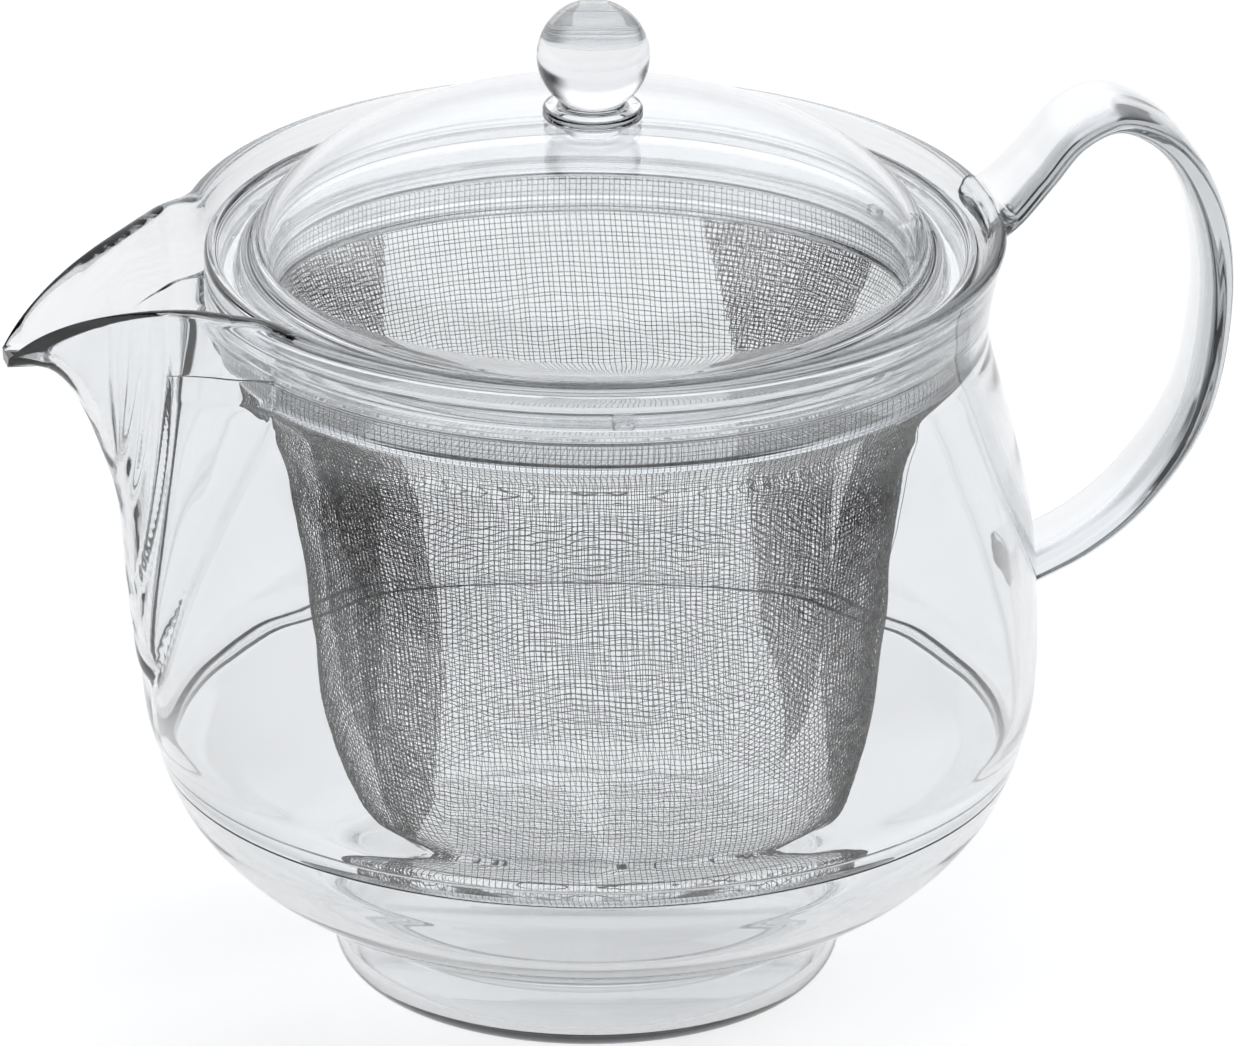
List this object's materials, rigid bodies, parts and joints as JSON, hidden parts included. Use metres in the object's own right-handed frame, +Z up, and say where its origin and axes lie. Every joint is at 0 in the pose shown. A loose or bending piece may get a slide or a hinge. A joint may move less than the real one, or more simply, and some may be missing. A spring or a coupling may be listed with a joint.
{
  "type": "teapot",
  "caption": "Clear footed teapot with an open pouring beak, a strap loop handle, a domed lid with a ball knob and a lift-out basket strainer of folded wire mesh.",
  "frame": {"origin": "the pot's axis at the plane that the foot stands on", "axes": "+Z up along the pot's axis, +X towards the handle, -X towards the pouring beak, +Y to the left of someone who looks from the handle to the beak"},
  "size_m": [0.1875, 0.1346, 0.155],
  "materials": {
    "clear_body": "polished, water clear",
    "clear_handle": "polished, water clear",
    "clear_ring": "polished, water clear",
    "wire_mesh": "fine plain-woven stainless wire",
    "clear_lid": "polished, water clear",
    "clear_knob": "polished, water clear"
  },
  "bodies": {
    "pot": {"pot_shell": "clear_body", "base_bowl": "clear_body", "handle": "clear_handle"},
    "strainer": {"strainer_ring": "clear_ring", "mesh_clamp_ring": "clear_ring", "mesh_basket": "wire_mesh"},
    "lid": {"lid_dome": "clear_lid", "lid_knob": "clear_knob"}
  },
  "joints": [
    {"name": "strainer_lift", "type": "slide", "parent": "pot", "child": "strainer", "axis": [0, 0, 1], "range_m": [0, 0.12]},
    {"name": "lid_lift", "type": "slide", "parent": "strainer", "child": "lid", "axis": [0, 0, 1], "range_m": [0, 0.06]}
  ]
}
